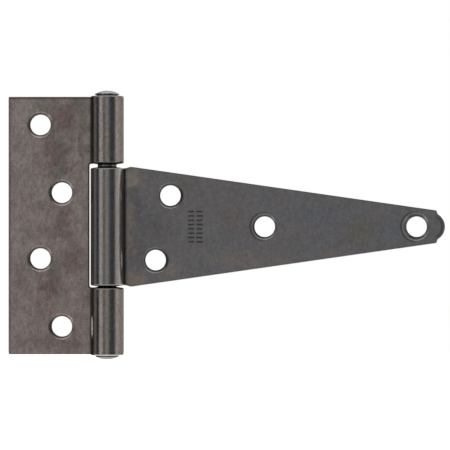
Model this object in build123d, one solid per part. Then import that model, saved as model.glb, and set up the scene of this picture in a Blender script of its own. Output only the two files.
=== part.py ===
from build123d import *

import os
from math import asin, cos, degrees, radians, sin, tan

# A heavy T hinge for gates and shed doors, in millimetres.
#
# Three pieces: a rectangular pad leaf with two rolled knuckles, a long tapered strap leaf with
# one rolled knuckle between them, and the peened pin that they turn on.
#
# Frame: +Z runs up the pin, +X along the strap, and the barrel and the countersinks face -Y.
# The origin is on the pin's axis, halfway up the pad leaf.

# Sheet and barrel
SHEET = 3.1
BORE_R = 4.35
KNUCKLE_R = BORE_R + SHEET
SEAM_GAP = 0.25

# Sheared edges: rolled over on the back, which is the outside of the curl, and crisper on the front
BACK_ROUND = 0.7
FRONT_ROUND = 0.3

# Curling thick sheet swells its inner side along the pin, so each knuckle ends in a low raised lip
LIP_HEIGHT = 0.35
LIP_FLAT = 0.4
LIP_RUN_OUT = 3.0

# Pad leaf: its width is from the pin's axis to the outer edge
PAD_WIDTH = 44.8
PAD_HEIGHT = 116.4
PAD_CORNER_R = 0.7
NOTCH_DEPTH = 8.35
NOTCH_HEIGHT = 55.9
NOTCH_CORNER_R = 0.8

# Pad screw holes: an outer and an inner column, each with two of the four heights
PAD_OUTER_COLUMN = 30.5
PAD_INNER_COLUMN = 20.8
PAD_HIGH_ROW = 45.6
PAD_LOW_ROW = 14.9

# Strap leaf: its length is from the pin's axis to the tip, and it hangs a little low
STRAP_LENGTH = 152.4
STRAP_DROP = 0.5
NECK_END = 8.0
NECK_HALF = 26.4
NECK_BLEND_R = 1.0
EAR_X = 10.4
EAR_HALF = 27.15
EAR_BLEND_R = 3.0
SHOULDER_X = 148.5
SHOULDER_HALF = 7.4
SHOULDER_CORNER_R = 0.5
STEP_END_X = 149.3
STEP_END_HALF = 5.2
LOBE_R = 6.6
LOBE_BLEND_R = 0.5

# Strap screw holes, as (x, height above the strap's centreline)
STRAP_ROOT_HOLES = [(28.3, 14.1), (21.6, -15.1)]
STRAP_MID_HOLE = (71.0, 0)
STRAP_TIP_HOLE = (139.8, 0)

# Countersunk screw holes. The two on the strap's centreline are sunk a little towards the barrel,
# and the one in the tip is sunk deeper
HOLE_R = 4.65
SINK_R = 5.95
SINK_ANGLE = 100
SINK_LIP_ROUND = 0.12
MID_SINK_SHIFT = 0.35
TIP_SINK_R = 6.35
TIP_SINK_SHIFT = 0.6

# Stamped panel on the strap: plain round-ended bars in two columns
STAMP_COLUMNS = [37.7, 41.5]
STAMP_BARS = 8
STAMP_PITCH = 1.95
STAMP_BAR_LENGTH = 2.7
STAMP_BAR_WIDTH = 0.55
STAMP_DEPTH = 0.25

# Pin: a domed head on top, whose thin rim stands a little off the knuckle, and a peened dome below
PIN_R = 4.28
HEAD_NECK_R = 4.7
HEAD_NECK_HEIGHT = 0.3
HEAD_RIM_R = 5.45
HEAD_RIM_HEIGHT = 0.5
HEAD_DOME_R = 5.15
HEAD_DOME_HEIGHT = 1.35
PEEN_RIM_R = 5.15
PEEN_RIM_HEIGHT = 0.35
PEEN_DOME_HEIGHT = 1.25
PIN_EDGE_ROUND = 0.12

# The curl's outer lip stops just short of the leaf's front face
CURL_SWEEP = 270 + degrees(asin((BORE_R - SEAM_GAP) / KNUCKLE_R))

# A leaf's flat plate lies between these two planes. Both face -Y, with +Z up
FRONT_PLANE = Plane.XZ.offset(-BORE_R)
BACK_PLANE = Plane.XZ.offset(-KNUCKLE_R)

# Two places are the same when they are closer than this
CLOSE = 0.01


def curl(low, high):
    """The sheet curled round the bore, between two heights, for a leaf on the +X side."""
    tip = radians(90 + CURL_SWEEP)
    outline = [
        CenterArc((0, 0), KNUCKLE_R, 90, CURL_SWEEP),
        CenterArc((0, 0), BORE_R, 90, CURL_SWEEP),
        Line((KNUCKLE_R * cos(tip), KNUCKLE_R * sin(tip)), (BORE_R * cos(tip), BORE_R * sin(tip))),
        Line((0, KNUCKLE_R), (0, BORE_R)),
    ]
    return extrude(Plane.XY.offset(low) * make_face(outline), high - low)


def lip(end, outward):
    """The raised lip on one end of a curl, for a leaf on the +X side, running out along its plate."""
    top = end + outward * LIP_HEIGHT
    root = end - outward * FRONT_ROUND
    outline = Polyline(
        (BORE_R, root),
        (BORE_R, top),
        (BORE_R + LIP_FLAT, top),
        (KNUCKLE_R - BACK_ROUND, end),
        (KNUCKLE_R - BACK_ROUND, root),
        close=True,
    )
    section = Plane.YZ * make_face(outline)
    run_out = loft([section, Vertex(LIP_RUN_OUT, BORE_R, end)])
    return revolve(section, Axis.Z, CURL_SWEEP) + run_out


def corners(outline, places):
    """The outline's corners that lie at the given (x, y) places."""
    return [
        corner
        for corner in outline.vertices()
        if any(abs(corner.X - x) < CLOSE and abs(corner.Y - y) < CLOSE for x, y in places)
    ]


def sheared(leaf):
    """The leaf with its sheared outline rounded, more on the back than on the front."""
    for depth, radius in ((KNUCKLE_R, BACK_ROUND), (BORE_R, FRONT_ROUND)):
        outline = [
            edge
            for edge in leaf.edges()
            if abs(edge.center().Y - depth) < CLOSE and abs(edge.center().X) > CLOSE
        ]
        leaf = fillet(outline, radius)
    return leaf


def screw_hole(x, height, sink_r=SINK_R, sink_shift=0):
    """The cutter for one countersunk hole: a round hole, and a cone that opens to the front.

    The cone's small end is as small as the hole allows it to be when the two aren't concentric.
    """
    small_r = HOLE_R - sink_shift
    sink_depth = (sink_r - small_r) / tan(radians(SINK_ANGLE / 2))
    hole = extrude(BACK_PLANE * Pos(x, height) * Circle(HOLE_R), SHEET)
    sink = FRONT_PLANE * Pos(x - sink_shift, height, -sink_depth / 2) * Cone(small_r, sink_r, sink_depth)
    return hole + sink


def drilled(leaf, cutters):
    """The leaf with its screw holes cut and each countersink's lip eased."""
    for cutter in cutters:
        leaf -= cutter
    lips = [
        edge
        for edge in leaf.edges().filter_by(GeomType.CIRCLE)
        if abs(edge.center().Y - BORE_R) < CLOSE and edge.radius > HOLE_R
    ]
    return fillet(lips, SINK_LIP_ROUND)


def pad_leaf():
    """The rectangular leaf, notched for the strap's knuckle, with a knuckle at each end."""
    notch_half = NOTCH_HEIGHT / 2
    half = PAD_HEIGHT / 2
    outline = Pos(-PAD_WIDTH / 2, 0) * Rectangle(PAD_WIDTH, PAD_HEIGHT)
    outline -= Pos(-NOTCH_DEPTH / 2, 0) * Rectangle(NOTCH_DEPTH, NOTCH_HEIGHT)
    outline = fillet(corners(outline, [(-PAD_WIDTH, half), (-PAD_WIDTH, -half)]), PAD_CORNER_R)
    inner_corners = [(-NOTCH_DEPTH, notch_half), (-NOTCH_DEPTH, -notch_half)]
    outline = fillet(corners(outline, inner_corners), NOTCH_CORNER_R)
    plate = extrude(BACK_PLANE * outline, SHEET)
    curls = curl(notch_half, half) + curl(-half, -notch_half)
    lips = lip(half, 1) + lip(notch_half, -1) + lip(-notch_half, 1) + lip(-half, -1)
    leaf = sheared(plate + mirror(curls, Plane.YZ)) + mirror(lips, Plane.YZ)
    holes = [
        screw_hole(-PAD_OUTER_COLUMN, PAD_HIGH_ROW),
        screw_hole(-PAD_INNER_COLUMN, PAD_LOW_ROW),
        screw_hole(-PAD_OUTER_COLUMN, -PAD_LOW_ROW),
        screw_hole(-PAD_INNER_COLUMN, -PAD_HIGH_ROW),
    ]
    return drilled(leaf, holes)


def strap_outline():
    """The strap's flat shape: a short neck, a long taper, and a round lobe past two shoulders."""
    upper = [
        (0, NECK_HALF),
        (NECK_END, NECK_HALF),
        (EAR_X, EAR_HALF),
        (SHOULDER_X, SHOULDER_HALF),
        (STEP_END_X, STEP_END_HALF),
    ]
    lower = [(x, -half) for x, half in reversed(upper)]
    outline = make_face(Polyline(*upper, *lower, close=True))
    outline += Pos(STRAP_LENGTH - LOBE_R, 0) * Circle(LOBE_R)
    for (x, half), radius in (
        (upper[1], NECK_BLEND_R),
        (upper[2], EAR_BLEND_R),
        (upper[3], SHOULDER_CORNER_R),
    ):
        outline = fillet(corners(outline, [(x, half), (x, -half)]), radius)
    lobe_joints = outline.vertices().filter_by_position(Axis.X, SHOULDER_X + CLOSE, STRAP_LENGTH - 1)
    return fillet(lobe_joints, LOBE_BLEND_R)


def stamped_bars():
    """The cutter for the stamped panel: two columns of short bars across the strap."""
    bar = SlotOverall(STAMP_BAR_LENGTH, STAMP_BAR_WIDTH)
    middle = (STAMP_BARS - 1) / 2
    places = [
        Pos(x, (row - middle) * STAMP_PITCH)
        for x in STAMP_COLUMNS
        for row in range(STAMP_BARS)
    ]
    return extrude(FRONT_PLANE * Sketch([place * bar for place in places]), -STAMP_DEPTH)


def strap_leaf():
    """The tapered leaf, with one long knuckle and four screw holes."""
    plate = extrude(BACK_PLANE * strap_outline(), SHEET)
    leaf = sheared(plate + curl(-NECK_HALF, NECK_HALF)) + lip(NECK_HALF, 1) + lip(-NECK_HALF, -1)
    holes = [
        *[screw_hole(*place) for place in STRAP_ROOT_HOLES],
        screw_hole(*STRAP_MID_HOLE, SINK_R, MID_SINK_SHIFT),
        screw_hole(*STRAP_TIP_HOLE, TIP_SINK_R, TIP_SINK_SHIFT),
    ]
    leaf = drilled(leaf, holes) - stamped_bars()
    return Pos(0, 0, -STRAP_DROP) * leaf


def hinge_pin():
    """The pin: a plain shank, a flanged dome on top and a flared, peened dome below."""
    seat = PAD_HEIGHT / 2 + LIP_HEIGHT
    head_rim_low = seat + HEAD_NECK_HEIGHT
    head_rim_high = head_rim_low + HEAD_RIM_HEIGHT
    peen_rim_low = -seat - PEEN_RIM_HEIGHT
    head_top = (0, head_rim_high + HEAD_DOME_HEIGHT)
    peen_bottom = (0, peen_rim_low - PEEN_DOME_HEIGHT)
    outline = [
        TangentArc(head_top, (HEAD_DOME_R, head_rim_high), tangent=(1, 0)),
        Polyline(
            (HEAD_DOME_R, head_rim_high),
            (HEAD_RIM_R, head_rim_high),
            (HEAD_RIM_R, head_rim_low),
            (HEAD_NECK_R, head_rim_low),
            (HEAD_NECK_R, seat),
            (PIN_R, seat),
            (PIN_R, -seat),
            (PEEN_RIM_R, -seat),
            (PEEN_RIM_R, peen_rim_low),
        ),
        TangentArc(peen_bottom, (PEEN_RIM_R, peen_rim_low), tangent=(1, 0)),
        Line(peen_bottom, head_top),
    ]
    profile = make_face(outline)
    rims = [corner for corner in profile.vertices() if corner.X > PEEN_RIM_R - CLOSE]
    profile = fillet(rims, PIN_EDGE_ROUND)
    return revolve(Plane.XZ * profile, Axis.Z)


PIECES = {
    "pad_leaf": pad_leaf,
    "strap_leaf": strap_leaf,
    "pin": hinge_pin,
}

os.makedirs("parts", exist_ok=True)
for name, make in PIECES.items():
    piece = make()
    piece.label = name
    export_step(piece, f"parts/{name}.step")
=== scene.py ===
"""Looks for the T hinge: dull mill-finish stainless leaves on a drawn pin, in a plain white studio.

Everything is in metres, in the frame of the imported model: +Z up the pin, +X along the strap,
and the barrel and the countersinks face -Y, towards the camera. Patterns in the materials are
worked out in millimetres from the same origin, on the pin's axis halfway up the pad leaf.
"""
import math

import bpy
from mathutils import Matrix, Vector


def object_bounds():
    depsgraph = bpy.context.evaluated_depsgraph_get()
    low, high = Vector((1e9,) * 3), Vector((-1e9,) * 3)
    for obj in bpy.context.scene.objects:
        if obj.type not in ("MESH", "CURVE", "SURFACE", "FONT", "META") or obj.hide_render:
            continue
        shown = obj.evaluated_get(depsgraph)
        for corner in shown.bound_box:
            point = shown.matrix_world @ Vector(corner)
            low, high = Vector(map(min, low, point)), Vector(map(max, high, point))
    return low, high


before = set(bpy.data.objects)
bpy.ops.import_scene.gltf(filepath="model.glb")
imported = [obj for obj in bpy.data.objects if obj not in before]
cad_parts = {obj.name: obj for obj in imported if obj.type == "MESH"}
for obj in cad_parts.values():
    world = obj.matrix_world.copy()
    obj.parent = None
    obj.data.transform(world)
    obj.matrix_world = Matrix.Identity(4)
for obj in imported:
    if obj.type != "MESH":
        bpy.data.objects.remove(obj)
cad_low, cad_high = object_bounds()

MM = 0.001

# Camera: straight on to the leaves, from far enough back to see little perspective. The view is a
# little wider than the hinge and its middle is a little to the left of the hinge's
LENS_MM = 180
SENSOR_MM = 36
VIEW_MARGIN = 1.031
AIM_LEFT = 0.8 * MM
LEAF_THICKNESS = 3.1 * MM

# Studio: how bright and how warm it is round the horizon, by azimuth in degrees (0 is the
# camera's side and 90 is the strap's side), and how bright above and below
STUDIO_RING = [
    (-180, 0.40, 0.0),
    (-150, 0.08, 0.0),
    (-118, 0.02, 0.0),
    (-92, 0.30, 0.04),
    (-82, 0.25, 0.0),
    (-70, 0.03, -0.05),
    (-61, 0.07, 0.0),
    (-47, 0.84, 0.02),
    (-38, 0.76, 0.03),
    (-19, 0.21, 0.04),
    (-4, 0.52, 0.03),
    (5, 0.50, 0.0),
    (24, 0.14, -0.1),
    (34, 0.10, -0.1),
    (51, 0.11, -0.08),
    (57, 0.22, 0.0),
    (69, 0.77, 0.05),
    (80, 0.72, 0.07),
    (100, 0.56, 0.08),
    (118, 0.50, 0.08),
    (142, 0.75, 0.05),
    (164, 0.50, 0.0),
    (180, 0.40, 0.0),
]
OVERHEAD = 0.82
UNDERFOOT = 1.1

# The heights on a unit sphere where the light from above and below begins and is complete
OVERHEAD_HEIGHTS = (0.35, 0.75)
UNDERFOOT_HEIGHTS = (-0.3, -0.6)

# The floor: half its side and how far it is below the hinge, in metres, and its looks
FLOOR_HALF = 8
FLOOR_DROP = 0.45
FLOOR_COLOUR = (0.9, 0.9, 0.9, 1)
FLOOR_ROUGHNESS = 0.9
FLOOR_GLOW = 0.75

# Colours of the steel: plates, knuckles, the pin and edges, with painted light among them: a painted
# highlight on the strap knuckle's flank, a painted glint, and painted shade along edges, in crevices,
# on the pin's shank and beside the knuckle ends. The pin's dints keep this part of its colour
PAD_PLATE = (0.382, 0.320, 0.310)
PAD_CLOUD = (0.325, 0.280, 0.269)
PAD_KNUCKLE = (0.312, 0.290, 0.281)
STRAP_PLATE = (0.237, 0.226, 0.235)
STRAP_CLOUD = (0.227, 0.225, 0.235)
STRAP_KNUCKLE = (0.305, 0.297, 0.292)
STRAP_FLANK_HIGHLIGHT = (0.55, 0.535, 0.52)
PIN_STEEL = (0.56, 0.545, 0.535)
SHEARED_EDGE_AND_SHADE = (0.07, 0.066, 0.063)
RUBBED_EDGE_AND_GLINT = (0.62, 0.6, 0.585)
SHADE_BLACK = (0.014, 0.013, 0.0125)
PIN_SHANK_SHADE = (0.2, 0.19, 0.185)
PIN_FOOT = (0.3, 0.29, 0.285)
DINT_SHADE = 0.86

# Roughness of a leaf's plate and of its knuckles, how much rougher a cut face is, the range over
# the pin, and the tint of a leaf's reflections at a glancing angle
PLATE_ROUGHNESS = 0.42
KNUCKLE_ROUGHNESS = 0.2
CUT_ROUGHNESS = 0.18
PIN_ROUGHNESS = (0.26, 0.36)
LEAF_TINT = (0.55, 0.55, 0.55, 1)

# How fine the patterns in the steel are, in features to the millimetre along X, Y and Z
CLOUDS_PER_MM = (0.16, 0.16, 0.11)
MOTTLE_PER_MM = (0.8, 0.8, 0.5)
SPECKS_PER_MM = (1.9, 1.9, 1.9)
PAD_GRAIN_PER_MM = (2.0, 2.0, 0.3)
STRAP_GRAIN_PER_MM = (0.3, 2.0, 2.0)
GLINT_PER_MM = (0.5, 0.5, 0.5)
DINTS_PER_MM = (0.9, 0.9, 0.9)
PIN_GRAIN_PER_MM = (3.0, 3.0, 0.15)

# How strong and, in metres, how deep the bumps are on a leaf and on the pin
LEAF_BUMPS = (0.25, 0.02 * MM)
PIN_BUMPS = (0.3, 0.06 * MM)

# How much of the grain is lost where the sheet is curled
CURL_POLISH = 0.65

# Where each feature is on the leaves and the pin, in mm. A plate lies between its front and back.
# A leaf is all plate beyond PLATE_FROM from the pin's axis and all knuckle within KNUCKLE_TO of it,
# and the colour of a knuckle's flank, on the strap a painted highlight, begins and is complete at FLANK_X
PLATE_FRONT = 4.35
PLATE_BACK = 7.45
PLATE_FROM = 8.6
KNUCKLE_TO = 7.7
SEAM_X = 7.45
FLANK_X = (5.15, 5.6)
STAMP_MIDDLE = (39.6, -0.5)
STAMP_HALF = (3.6, 8.4)
PAD_TOP = 58.2
PAD_BOTTOM = -58.2
PAD_OUTER = -44.8
LOBE_MIDDLE = (145.8, -0.5)
LOBE_R = 6.6
NOTCH_EDGE = -8.35
NOTCH_HALF = 27.95
# The painted glint on the lower pad knuckle's flank: its middle, and half its width and height
GLINT_MIDDLE = (-6.6, -45.4)
GLINT_HALF = (0.4, 4.2)
HEAD_RIM_LOW = 58.85
FOOT_RIM_HIGH = -58.55

# How far in from an edge its dark band reaches, on a leaf and on the pin, in mm, and how closely
# the rounded and the true surface face one way where the band begins and where it is complete. The
# band is painted shade, on a leaf also darker sheared steel
LEAF_EDGE_MM = 1.2
PIN_EDGE_MM = 0.25
EDGE_AGREEMENT = (0.999, 0.97)

# The gaps between knuckles, whose facing ends get painted shade, as the height of the middle and half the
# height, in mm
KNUCKLE_GAPS = [(27.3, 0.95), (-27.35, 0.3)]

# Where painted shadow blackens the pin beside the knuckle ends, as a height and half a height, in mm
PIN_SHADOWS = [(27.6, 0.25), (26.35, 0.2), (-27.3, 0.25)]

# Screw holes, as x and z of the middle, in mm, and the distances from it where a countersink's
# painted highlight and painted shade begin and are complete
PAD_HOLES = [(-30.5, 45.6), (-20.8, 14.9), (-30.5, -14.9), (-20.8, -45.6)]
STRAP_HOLES = [(28.3, 13.6), (21.6, -15.6), (71.0, -0.5), (139.8, -0.5)]
HOLE_REACH = (7.2, 6.9)

# Countersinks that are off their hole's centre, with a painted shade line beside them: x and z of the
# middle and the radius, in mm
OFFSET_SINKS = [(70.65, -0.5, 5.95), (139.2, -0.5, 6.35)]

# How dark edges (darker sheared steel and painted shade), cut faces (partly painted shade) and the
# painted shade lines along the edges are, from 0 to 1
EDGE_DARKNESS = 0.3
CUT_DARKNESS = 0.85
TOP_LINE = 0.6
OUTER_LINE = 0.27
STRAP_LINES = 0.6

# Stain colours
BROWN = (0.25, 0.19, 0.182)
OLIVE = (0.225, 0.215, 0.185)
TAN = (0.315, 0.276, 0.242)
PALE = (0.44, 0.405, 0.365)
BLUE = (0.212, 0.222, 0.245)
SLATE = (0.165, 0.156, 0.16)

# A stain fades from full to nothing between these parts of its half width and half height. Its
# outline wanders by up to half of STAIN_DRIFT mm, over patches this fine, and on a leaf's back it
# has only part of its strength
STAIN_FADE = (0.35, 1.25)
STAIN_DRIFT = 14
STAIN_WANDER_PER_MM = 0.22
STAINS_ON_BACK = 0.4

# Stains on each leaf: x and z of the middle, half width and half height, all in mm, then the
# colour and how strong it is
PAD_STAINS = [
    (-37, 50, 9, 9, PALE, 0.4),
    (-39, 30, 5, 22, PALE, 0.25),
    (-40, -5, 4, 11, PALE, 0.4),
    (-31, 16, 5, 7, PALE, 0.45),
    (-12, 10, 3, 8, PALE, 0.4),
    (-24, 53, 9, 3, OLIVE, 0.55),
    (-14, 53, 6, 5, OLIVE, 0.5),
    (-19, 48, 6, 8, BROWN, 0.85),
    (-27, 42, 5, 8, OLIVE, 0.6),
    (-17, 26, 5, 3, BROWN, 0.7),
    (-14.5, 34, 1.8, 8, PALE, 0.35),
    (-21, 33, 3.5, 9, OLIVE, 0.85),
    (-22, 24, 3, 5, OLIVE, 0.6),
    (-11, 40, 2.5, 16, OLIVE, 0.7),
    (-25, 32, 5, 9, BROWN, 0.75),
    (-20, 1, 5, 8, BROWN, 0.75),
    (-25, -5, 4, 5, BROWN, 0.5),
    (-16, -16, 6, 7, BROWN, 0.8),
    (-26, -27, 5, 8, BROWN, 0.95),
    (-23, -20, 3.5, 5, OLIVE, 0.75),
    (-10, -34, 3, 6, BROWN, 0.5),
    (-18, -55, 7, 3, BROWN, 0.5),
    (-40, -22, 3, 8, BROWN, 0.45),
    (-30, -38, 6, 10, BROWN, 0.4),
    (-30, -52, 14, 4, BROWN, 0.55),
    (-14, -50, 5, 6, BROWN, 0.5),
    (-43, -50, 2.5, 10, PALE, 0.4),
]
STRAP_STAINS = [
    (10, 21, 5, 5, TAN, 1.0),
    (9, 20, 4, 4, PALE, 0.6),
    (9, 5, 4, 7, TAN, 0.85),
    (8, -8, 5, 10, TAN, 0.7),
    (10, -24, 9, 4, TAN, 1.0),
    (14, 7, 3.2, 10, SLATE, 0.6),
    (20, -1, 6, 8, SLATE, 0.5),
    (14, -12, 3.4, 9, SLATE, 0.6),
    (34, 19, 7, 4, OLIVE, 0.6),
    (28, -20, 6, 6, TAN, 0.5),
    (13, 22, 5, 5, TAN, 0.4),
    (26, -2, 6, 6, SLATE, 0.3),
    (56, 4, 6, 7, BROWN, 0.35),
    (62, -16, 18, 4, TAN, 0.45),
    (95, -14, 18, 3, TAN, 0.3),
    (95, 4, 17, 6, BLUE, 0.7),
    (114, -3, 8, 7, OLIVE, 0.6),
    (127, -2, 8, 5, BLUE, 0.7),
]


def add(tree, kind, inputs=None, **settings):
    """A new shader node. Its inputs are given by name or place, and a socket given is linked."""
    node = tree.nodes.new("ShaderNode" + kind)
    for name, value in settings.items():
        setattr(node, name, value)
    for name, value in (inputs or {}).items():
        if isinstance(value, bpy.types.NodeSocket):
            tree.links.new(value, node.inputs[name])
        else:
            node.inputs[name].default_value = value
    return node


def calc(tree, operation, *values):
    """The result of one Math node."""
    return add(tree, "Math", dict(enumerate(values)), operation=operation).outputs[0]


def joined(tree, operation, first, *others):
    """Two or more values put together by one operation, from left to right."""
    for value in others:
        first = calc(tree, operation, first, value)
    return first


def times(tree, *values):
    """The product of two or more values."""
    return joined(tree, "MULTIPLY", *values)


def total(tree, *values):
    """The sum of two or more values."""
    return joined(tree, "ADD", *values)


def largest(tree, *values):
    """The largest of two or more values."""
    return joined(tree, "MAXIMUM", *values)


def without(tree, value):
    """What is left of 1 once the value is taken away."""
    return calc(tree, "SUBTRACT", 1.0, value)


def between(tree, factor, first, second):
    """The first value where the factor is 0 and the second where it is 1."""
    return add(tree, "Mix", {0: factor, 2: first, 3: second}).outputs[0]


def vector(tree, operation, *values):
    """The vector from one Vector Math node."""
    return add(tree, "VectorMath", dict(enumerate(values)), operation=operation).outputs["Vector"]


def measure(tree, operation, *values):
    """The number from one Vector Math node, such as a length."""
    return add(tree, "VectorMath", dict(enumerate(values)), operation=operation).outputs["Value"]


def split(tree, place):
    """The X, Y and Z of a vector, by name."""
    return add(tree, "SeparateXYZ", {0: place}).outputs


def fade(tree, value, start, end, low=0.0, high=1.0):
    """A smooth step from low, where the value is start, to high, where it is end."""
    steps = {"Value": value, "From Min": start, "From Max": end, "To Min": low, "To Max": high}
    return add(tree, "MapRange", steps, interpolation_type="SMOOTHSTEP").outputs["Result"]


def within(tree, value, middle, half, soft):
    """1 where a value is within half of the middle, fading to 0 over the soft margin."""
    away = calc(tree, "ABSOLUTE", calc(tree, "SUBTRACT", value, middle))
    return fade(tree, away, half + soft, half)


def mixed(tree, factor, first, second, blend="MIX"):
    """The colour of one Mix node. A plain colour has three numbers."""
    colours = {
        name: value if isinstance(value, bpy.types.NodeSocket) else (*value, 1)
        for name, value in (("A", first), ("B", second))
    }
    node = add(tree, "Mix", data_type="RGBA", blend_type=blend)
    for name, value in {"Factor": factor, **colours}.items():
        socket = next(s for s in node.inputs if s.name == name and s.enabled)
        if isinstance(value, bpy.types.NodeSocket):
            tree.links.new(value, socket)
        else:
            socket.default_value = value
    return next(s for s in node.outputs if s.enabled)


def noise(tree, place, per_mm, detail=2.0):
    """Noise from 0 to 1 with so many features to the millimetre along X, Y and Z."""
    stretched = vector(tree, "MULTIPLY", place, per_mm)
    return add(tree, "TexNoise", {"Vector": stretched, "Scale": 1.0, "Detail": detail}).outputs["Fac"]


def bumps(tree, height, strength, depth):
    """The way the surface faces, once it is roughened by a height from 0 to 1."""
    settings = {"Height": height, "Strength": strength, "Distance": depth}
    return add(tree, "Bump", settings).outputs["Normal"]


def new_material(name):
    """A new material, with its node tree and its shader."""
    material = bpy.data.materials.new(name)
    material.use_nodes = True
    tree = material.node_tree
    return material, tree, tree.nodes["Principled BSDF"]


def studio_world():
    """A white backdrop for the camera; reflections see a ring of soft boxes and dark gaps."""
    world = bpy.data.worlds.new("studio")
    world.use_nodes = True
    bpy.context.scene.world = world
    tree = world.node_tree
    tree.nodes.clear()
    toward = split(tree, add(tree, "TexCoord").outputs["Generated"])
    azimuth = calc(tree, "ARCTAN2", toward["X"], times(tree, toward["Y"], -1.0))
    turn = add(tree, "MapRange", {"Value": azimuth, "From Min": -math.pi, "From Max": math.pi})
    ring = add(tree, "ValToRGB", {"Fac": turn.outputs["Result"]})
    ring.color_ramp.interpolation = "EASE"
    # A new ramp has two stops already
    for _ in STUDIO_RING[2:]:
        ring.color_ramp.elements.new(0.5)
    for stop, (degrees, level, warmth) in zip(ring.color_ramp.elements, STUDIO_RING):
        stop.position = (degrees + 180) / 360
        stop.color = (level * (1 + warmth), level, level * (1 - warmth), 1)
    above = fade(tree, toward["Z"], *OVERHEAD_HEIGHTS)
    below = fade(tree, toward["Z"], *UNDERFOOT_HEIGHTS)
    light = mixed(tree, above, ring.outputs["Color"], [OVERHEAD] * 3)
    light = mixed(tree, below, light, [UNDERFOOT] * 3)
    studio = add(tree, "Background", {"Color": light})
    backdrop = add(tree, "Background", {"Color": (1, 1, 1, 1)})
    seen = add(tree, "LightPath").outputs["Is Camera Ray"]
    choose = add(tree, "MixShader", {0: seen, 1: studio.outputs[0], 2: backdrop.outputs[0]})
    add(tree, "OutputWorld", {"Surface": choose.outputs[0]})


def camera():
    """The photograph's view: level, square to the leaves and filling the frame with the hinge."""
    data = bpy.data.cameras.new("camera")
    data.lens = LENS_MM
    data.sensor_width = SENSOR_MM
    data.clip_start = 0.01
    data.clip_end = 20
    eye = bpy.data.objects.new("camera", data)
    bpy.context.scene.collection.objects.link(eye)
    bpy.context.scene.camera = eye
    middle = (cad_low + cad_high) / 2
    away = VIEW_MARGIN * (cad_high.x - cad_low.x) * LENS_MM / SENSOR_MM
    leaf_front = cad_high.y - LEAF_THICKNESS
    eye.location = (middle.x - AIM_LEFT, leaf_front - away, middle.z)
    eye.rotation_euler = (math.radians(90), 0, 0)


def floor():
    """A plain pale floor, well below the hinge, which stays in the air as it would on its post."""
    low = cad_low.z - FLOOR_DROP
    mesh = bpy.data.meshes.new("floor")
    signs = ((-1, -1), (1, -1), (1, 1), (-1, 1))
    corners = [(FLOOR_HALF * across, FLOOR_HALF * deep, low) for across, deep in signs]
    mesh.from_pydata(corners, [], [(0, 1, 2, 3)])
    ground = bpy.data.objects.new("floor", mesh)
    bpy.context.scene.collection.objects.link(ground)
    pale, _, shader = new_material("pale_floor")
    shader.inputs["Base Color"].default_value = FLOOR_COLOUR
    shader.inputs["Roughness"].default_value = FLOOR_ROUGHNESS
    shader.inputs["Emission Color"].default_value = (1, 1, 1, 1)
    shader.inputs["Emission Strength"].default_value = FLOOR_GLOW
    mesh.materials.append(pale)
    ground.visible_glossy = False
    ground.visible_diffuse = False


def millimetres(tree):
    """Where a point is on its piece at rest, in millimetres."""
    rest = add(tree, "TexCoord").outputs["Object"]
    return add(tree, "VectorMath", {0: rest, "Scale": 1 / MM}, operation="SCALE").outputs["Vector"]


def facing(tree):
    """The way a surface faces on its piece at rest, as X, Y and Z by name."""
    return split(tree, add(tree, "TexCoord").outputs["Normal"])


def near_an_edge(tree, reach_mm):
    """1 on an edge and 0 a little way in from it."""
    rounded = add(tree, "Bevel", {"Radius": reach_mm * MM}, samples=8).outputs["Normal"]
    true = add(tree, "NewGeometry").outputs["Normal"]
    return fade(tree, measure(tree, "DOT_PRODUCT", rounded, true), *EDGE_AGREEMENT)


def from_point(tree, place, x, z, half_width=1.0, half_height=1.0):
    """How far a place is from x and z, seen square on, in half widths and half heights."""
    offset = vector(tree, "SUBTRACT", place, (x, 0, z))
    size = (1 / half_width, 0, 1 / half_height)
    return measure(tree, "LENGTH", vector(tree, "MULTIPLY", offset, size))


def on_the_knuckle(tree, place):
    """1 on the curled part of a leaf, 0 on its flat plate."""
    from_axis = measure(tree, "LENGTH", vector(tree, "MULTIPLY", place, (1, 1, 0)))
    return fade(tree, from_axis, PLATE_FROM, KNUCKLE_TO)


def stained(tree, place, colour, stains):
    """The colour with soft-edged stains over it, their outlines broken up by noise; the back has less."""
    depth = split(tree, place)["Y"]
    front = fade(tree, depth, PLATE_FRONT + 1, PLATE_BACK - 1, 1.0, STAINS_ON_BACK)
    wander = {"Vector": place, "Scale": STAIN_WANDER_PER_MM, "Detail": 3.0}
    ragged = add(tree, "TexNoise", wander).outputs["Color"]
    drift = vector(tree, "SUBTRACT", ragged, (0.5, 0.5, 0.5))
    moved = vector(tree, "MULTIPLY_ADD", drift, (STAIN_DRIFT, 0, STAIN_DRIFT), place)
    full, none = STAIN_FADE
    for x, z, half_width, half_height, tint, strength in stains:
        distance = from_point(tree, moved, x, z, half_width, half_height)
        cover = times(tree, front, fade(tree, distance, none, full, 0.0, strength))
        colour = mixed(tree, cover, colour, tint)
    return colour


def pad_rim_shade(tree, place):
    """How dark the painted shade lines are just inside the pad's top edge, its outer edge and the edge of
    its notch.
    """
    part = split(tree, place)
    top = within(tree, part["Z"], PAD_TOP - 0.6, 0.3, 0.45)
    outer = within(tree, part["X"], PAD_OUTER + 0.75, 0.2, 0.35)
    beside_notch = fade(tree, part["X"], NOTCH_EDGE - 0.6, NOTCH_EDGE - 0.35)
    notch = times(tree, beside_notch, within(tree, part["Z"], 0.0, NOTCH_HALF, 0.3))
    return largest(tree, times(tree, top, TOP_LINE), times(tree, outer, OUTER_LINE), notch)


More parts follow.
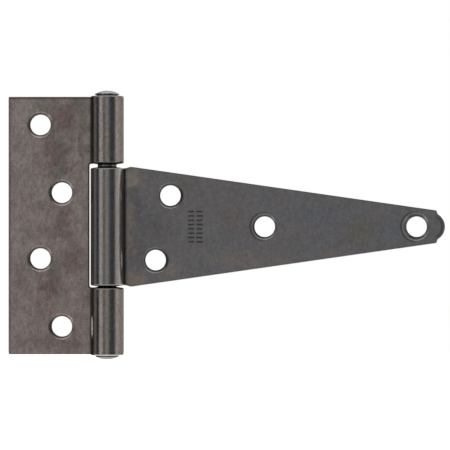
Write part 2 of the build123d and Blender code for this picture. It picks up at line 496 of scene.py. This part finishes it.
def strap_rim_shade(tree, place):
    """How dark the painted shade lines are just inside the tip's round lobe and beside the off-centre
    countersinks.
    """
    along = split(tree, place)["X"]
    lobe_x, lobe_z = LOBE_MIDDLE
    lobe = within(tree, from_point(tree, place, lobe_x, lobe_z), LOBE_R - 1.25, 0.35, 0.4)
    rim_shade = times(tree, lobe, fade(tree, along, lobe_x + 1, lobe_x + 4))
    for x, z, radius in OFFSET_SINKS:
        ring = within(tree, from_point(tree, place, x, z), radius + 0.3, 0.25, 0.5)
        rim_shade = largest(tree, rim_shade, times(tree, ring, fade(tree, along, x + 2, x - 4)))
    return times(tree, rim_shade, STRAP_LINES)


def shaded_crevices(tree, place, curled, seam_x, plate_reach, curl_reach, curl_full, curl_strength):
    """1 where painted shade sits: in the crevice along a curl's seam, on the curl beside it, and on the
    ends of knuckles that face each other.

    On the plate the painted shade fades out plate_reach mm from the seam. On the curl it has its full
    strength as far as curl_full mm and fades out at curl_reach mm.
    """
    height = split(tree, place)["Z"]
    seam = add(tree, "CombineXYZ", {"X": seam_x, "Y": PLATE_FRONT, "Z": height}).outputs[0]
    reach = measure(tree, "DISTANCE", place, seam)
    on_plate = fade(tree, reach, plate_reach, 0.0, 0.0, 0.9)
    on_curl = fade(tree, reach, curl_reach, curl_full, 0.0, curl_strength)
    for middle, half in KNUCKLE_GAPS:
        on_curl = largest(tree, on_curl, within(tree, height, middle, half, 0.25))
    return between(tree, curled, on_plate, on_curl)


def countersinks(tree, place, holes, right_from, left_from, shade_below):
    """How much painted highlight and painted shade the countersinks get.

    Each lip gets a painted highlight below its hole, and also to the right of it from one x on and to
    the left of it from another. Further in, the countersink gets painted shade above the hole, and
    shade_below is how much painted shade it gets below.
    """
    part = split(tree, place)
    turned = facing(tree)
    over = 0.0
    for x, z in holes:
        over = largest(tree, over, fade(tree, from_point(tree, place, x, z), *HOLE_REACH))
    lip = within(tree, part["Y"], PLATE_FRONT + 0.18, 0.12, 0.15)
    below = times(tree, lip, fade(tree, turned["Z"], 0.3, 0.55, 0.0, 0.9))
    right_side = fade(tree, part["X"], right_from, right_from + 5)
    right = times(tree, right_side, fade(tree, turned["X"], -0.25, -0.5, 0.0, 0.7))
    left_side = fade(tree, part["X"], left_from, left_from + 5)
    left = times(tree, left_side, fade(tree, turned["X"], 0.25, 0.5, 0.0, 0.4))
    inner = fade(tree, part["Y"], PLATE_FRONT + 0.25, PLATE_FRONT + 0.5)
    sink_shade = total(
        tree,
        fade(tree, turned["Z"], -0.3, -0.55, 0.0, 0.8),
        fade(tree, turned["Z"], 0.3, 0.55, 0.0, shade_below),
    )
    lip_highlight = times(tree, over, largest(tree, below, left, right))
    return lip_highlight, times(tree, over, inner, sink_shade)


def cut_faces(tree, place, curled, darker_side):
    """1 on the walls between a plate's front and back, and less on its countersinks: darker sheared
    steel, partly painted shade.

    A countersink is darker on the side that faces darker_side, +1 or -1 along X: partly drill chatter
    marks, partly painted shade.
    """
    depth = split(tree, place)["Y"]
    chatter_and_shade = fade(tree, times(tree, facing(tree)["X"], darker_side), -0.2, 0.5, 0.0, 0.75)
    sunk = times(tree, fade(tree, depth, PLATE_FRONT + 0.1, PLATE_FRONT + 0.5), chatter_and_shade)
    wall = fade(tree, depth, PLATE_FRONT + 0.4, PLATE_FRONT + 0.95)
    above_back = fade(tree, depth, PLATE_BACK - 0.2, PLATE_BACK - 0.7)
    return times(tree, largest(tree, sunk, wall), above_back, without(tree, curled))


def stamped(tree, place):
    """1 in the bottom of the stamped panel's bars."""
    part = split(tree, place)
    sunk = fade(tree, part["Y"], PLATE_FRONT + 0.04, PLATE_FRONT + 0.14)
    across = within(tree, part["X"], STAMP_MIDDLE[0], STAMP_HALF[0], 0.5)
    along = within(tree, part["Z"], STAMP_MIDDLE[1], STAMP_HALF[1], 0.5)
    shallow = within(tree, part["Y"], PLATE_FRONT, 0.5, 0.2)
    return times(tree, sunk, across, along, shallow)


def painted_glint(tree, place):
    """1 on the painted glint, pale and ragged, down the flank of the lower pad knuckle, beside its seam.
    """
    distance = from_point(tree, place, *GLINT_MIDDLE, *GLINT_HALF)
    ragged = fade(tree, noise(tree, place, GLINT_PER_MM, 3.0), 0.3, 0.7, -0.2, 0.2)
    cover = fade(tree, total(tree, distance, ragged), 1.25, 0.8)
    return times(tree, cover, fade(tree, split(tree, place)["Y"], 0.5, -0.5))


def leaf_steel(
    name, colours, stains, rim_shade_of, sinks, darker_side, seam, mottling, grain_per_mm, grain_strength
):
    """Mill-finish stainless sheet: cloudy plates, smoother curled knuckles, dark sheared edges, with
    painted highlights and painted shade laid into the colour.

    The colours are those of the plate, its clouds, the knuckle and the knuckle's flank, which on the
    strap is a painted highlight. Then come the settings of the functions above, and how strong the
    mottling and the grain are.
    """
    material, tree, shader = new_material(name)
    plate, cloud, knuckle, flank = colours
    place = millimetres(tree)
    part = split(tree, place)

    curled = on_the_knuckle(tree, place)
    flat = without(tree, curled)
    edge = times(tree, near_an_edge(tree, LEAF_EDGE_MM), flat)
    front = times(tree, flat, fade(tree, part["Y"], PLATE_FRONT + 0.8, PLATE_FRONT + 0.4))
    # Painted shade lines just inside edges
    rim_shade = times(tree, rim_shade_of(tree, place), front)
    # Painted highlight on countersink lips and painted shade inside them
    lip_highlight, sink_shade = countersinks(tree, place, **sinks)
    cut = largest(tree, cut_faces(tree, place, curled, darker_side), stamped(tree, place))
    cut = largest(tree, times(tree, cut, without(tree, lip_highlight)), sink_shade)
    # Painted shade in the seam's crevice, on the curl beside it and on facing knuckle ends
    crevice_shade = shaded_crevices(tree, place, curled, **seam)
    # The painted glint on the lower pad knuckle
    glint = painted_glint(tree, place)
    rubbed = times(tree, curled, fade(tree, part["Z"], PAD_BOTTOM + 0.55, PAD_BOTTOM + 0.25))

    clouds = noise(tree, place, CLOUDS_PER_MM, 4.0)
    mottle = noise(tree, place, MOTTLE_PER_MM, 3.0)
    specks = noise(tree, place, SPECKS_PER_MM)
    drawn = noise(tree, place, grain_per_mm)
    grain = between(tree, times(tree, curled, CURL_POLISH), drawn, 0.5)

    colour = mixed(tree, fade(tree, clouds, 0.4, 0.62), plate, cloud)
    colour = stained(tree, place, colour, stains)
    # On the strap the knuckle's flank gets a painted highlight
    curl = mixed(tree, fade(tree, part["X"], *FLANK_X), knuckle, flank)
    colour = mixed(tree, curled, colour, curl)
    shade = total(
        tree,
        1.0,
        fade(tree, mottle, 0.3, 0.7, -mottling, mottling),
        fade(tree, grain, 0.3, 0.7, -grain_strength, grain_strength),
        fade(tree, specks, 0.35, 0.65, mottling, -mottling),
        fade(tree, specks, 0.66, 0.8, 0.0, -0.25),
        # The painted highlight on the countersink lips
        lip_highlight,
    )
    grey = add(tree, "CombineColor", {0: shade, 1: shade, 2: shade}).outputs[0]
    colour = mixed(tree, 1.0, colour, grey, "MULTIPLY")
    # Over the colour go darker sheared steel and painted shade along edges, painted shade lines, dark cut
    # faces partly in painted shade, rubbed wear at the bottom end of the lower knuckle, painted crevice
    # shade and the painted glint
    for cover, tint in (
        (times(tree, edge, EDGE_DARKNESS), SHEARED_EDGE_AND_SHADE),
        (rim_shade, SHEARED_EDGE_AND_SHADE),
        (times(tree, cut, CUT_DARKNESS), SHEARED_EDGE_AND_SHADE),
        (rubbed, RUBBED_EDGE_AND_GLINT),
        (crevice_shade, SHADE_BLACK),
        (glint, RUBBED_EDGE_AND_GLINT),
    ):
        colour = mixed(tree, cover, colour, tint)
    tree.links.new(colour, shader.inputs["Base Color"])

    rough = total(
        tree,
        between(tree, curled, PLATE_ROUGHNESS, KNUCKLE_ROUGHNESS),
        fade(tree, grain, 0.3, 0.7, -0.03, 0.04),
        fade(tree, clouds, 0.35, 0.65, -0.03, 0.03),
        times(tree, cut, CUT_ROUGHNESS),
    )
    tree.links.new(rough, shader.inputs["Roughness"])

    height = total(tree, times(tree, grain, 0.6), times(tree, specks, 0.4))
    tree.links.new(bumps(tree, height, *LEAF_BUMPS), shader.inputs["Normal"])
    # The painted glint is not metallic, so it shows pale
    tree.links.new(without(tree, glint), shader.inputs["Metallic"])
    shader.inputs["Specular Tint"].default_value = LEAF_TINT
    return material


def pin_steel():
    """Drawn bar, turned by the hammer at both ends: brighter than the sheet, with fine dints, and painted
    shade on its shank, along its edges and beside the knuckle ends.
    """
    material, tree, shader = new_material("pin_steel")
    place = millimetres(tree)
    height = split(tree, place)["Z"]
    dints = noise(tree, place, DINTS_PER_MM)
    drawn = noise(tree, place, PIN_GRAIN_PER_MM)
    below_head = fade(tree, height, HEAD_RIM_LOW + 0.1, HEAD_RIM_LOW - 0.1)
    above_foot = fade(tree, height, FOOT_RIM_HIGH, FOOT_RIM_HIGH + 0.2)
    dinted = [DINT_SHADE * level for level in PIN_STEEL]
    colour = mixed(tree, fade(tree, dints, 0.35, 0.65), PIN_STEEL, dinted)
    colour = mixed(tree, fade(tree, height, 0.0, FOOT_RIM_HIGH), colour, PIN_FOOT)
    # Painted shade on the shank between the head and the foot, seen in the gaps and under the head
    colour = mixed(tree, times(tree, below_head, above_foot), colour, PIN_SHANK_SHADE)
    # Painted shadow on the pin beside the knuckle ends
    for middle, half in PIN_SHADOWS:
        colour = mixed(tree, within(tree, height, middle, half, 0.15), colour, SHADE_BLACK)
    # Painted shade along the pin's edges
    colour = mixed(tree, near_an_edge(tree, PIN_EDGE_MM), colour, SHEARED_EDGE_AND_SHADE)
    tree.links.new(colour, shader.inputs["Base Color"])
    rough = fade(tree, drawn, 0.3, 0.7, *PIN_ROUGHNESS)
    tree.links.new(rough, shader.inputs["Roughness"])
    tree.links.new(bumps(tree, dints, *PIN_BUMPS), shader.inputs["Normal"])
    shader.inputs["Metallic"].default_value = 1
    return material


bpy.context.scene.view_settings.view_transform = "Standard"
studio_world()
camera()
floor()

finishes = {
    "pad_leaf": leaf_steel(
        "pad_steel",
        colours=(PAD_PLATE, PAD_CLOUD, PAD_KNUCKLE, PAD_KNUCKLE),
        stains=PAD_STAINS,
        rim_shade_of=pad_rim_shade,
        sinks={"holes": PAD_HOLES, "right_from": -50, "left_from": 0, "shade_below": 0.1},
        darker_side=1,
        seam={
            "seam_x": -SEAM_X, "plate_reach": 0.9,
            "curl_reach": 10.0, "curl_full": 8.3, "curl_strength": 0.6,
        },
        mottling=0.13,
        grain_per_mm=PAD_GRAIN_PER_MM,
        grain_strength=0.08,
    ),
    "strap_leaf": leaf_steel(
        "strap_steel",
        colours=(STRAP_PLATE, STRAP_CLOUD, STRAP_KNUCKLE, STRAP_FLANK_HIGHLIGHT),
        stains=STRAP_STAINS,
        rim_shade_of=strap_rim_shade,
        sinks={"holes": STRAP_HOLES, "right_from": 60, "left_from": 130, "shade_below": 0.8},
        darker_side=-1,
        seam={
            "seam_x": SEAM_X, "plate_reach": 1.7,
            "curl_reach": 6.8, "curl_full": 4.6, "curl_strength": 0.7,
        },
        mottling=0.08,
        grain_per_mm=STRAP_GRAIN_PER_MM,
        grain_strength=0.04,
    ),
    "pin": pin_steel(),
}
for node, finish in finishes.items():
    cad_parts[node].material_slots[0].material = finish
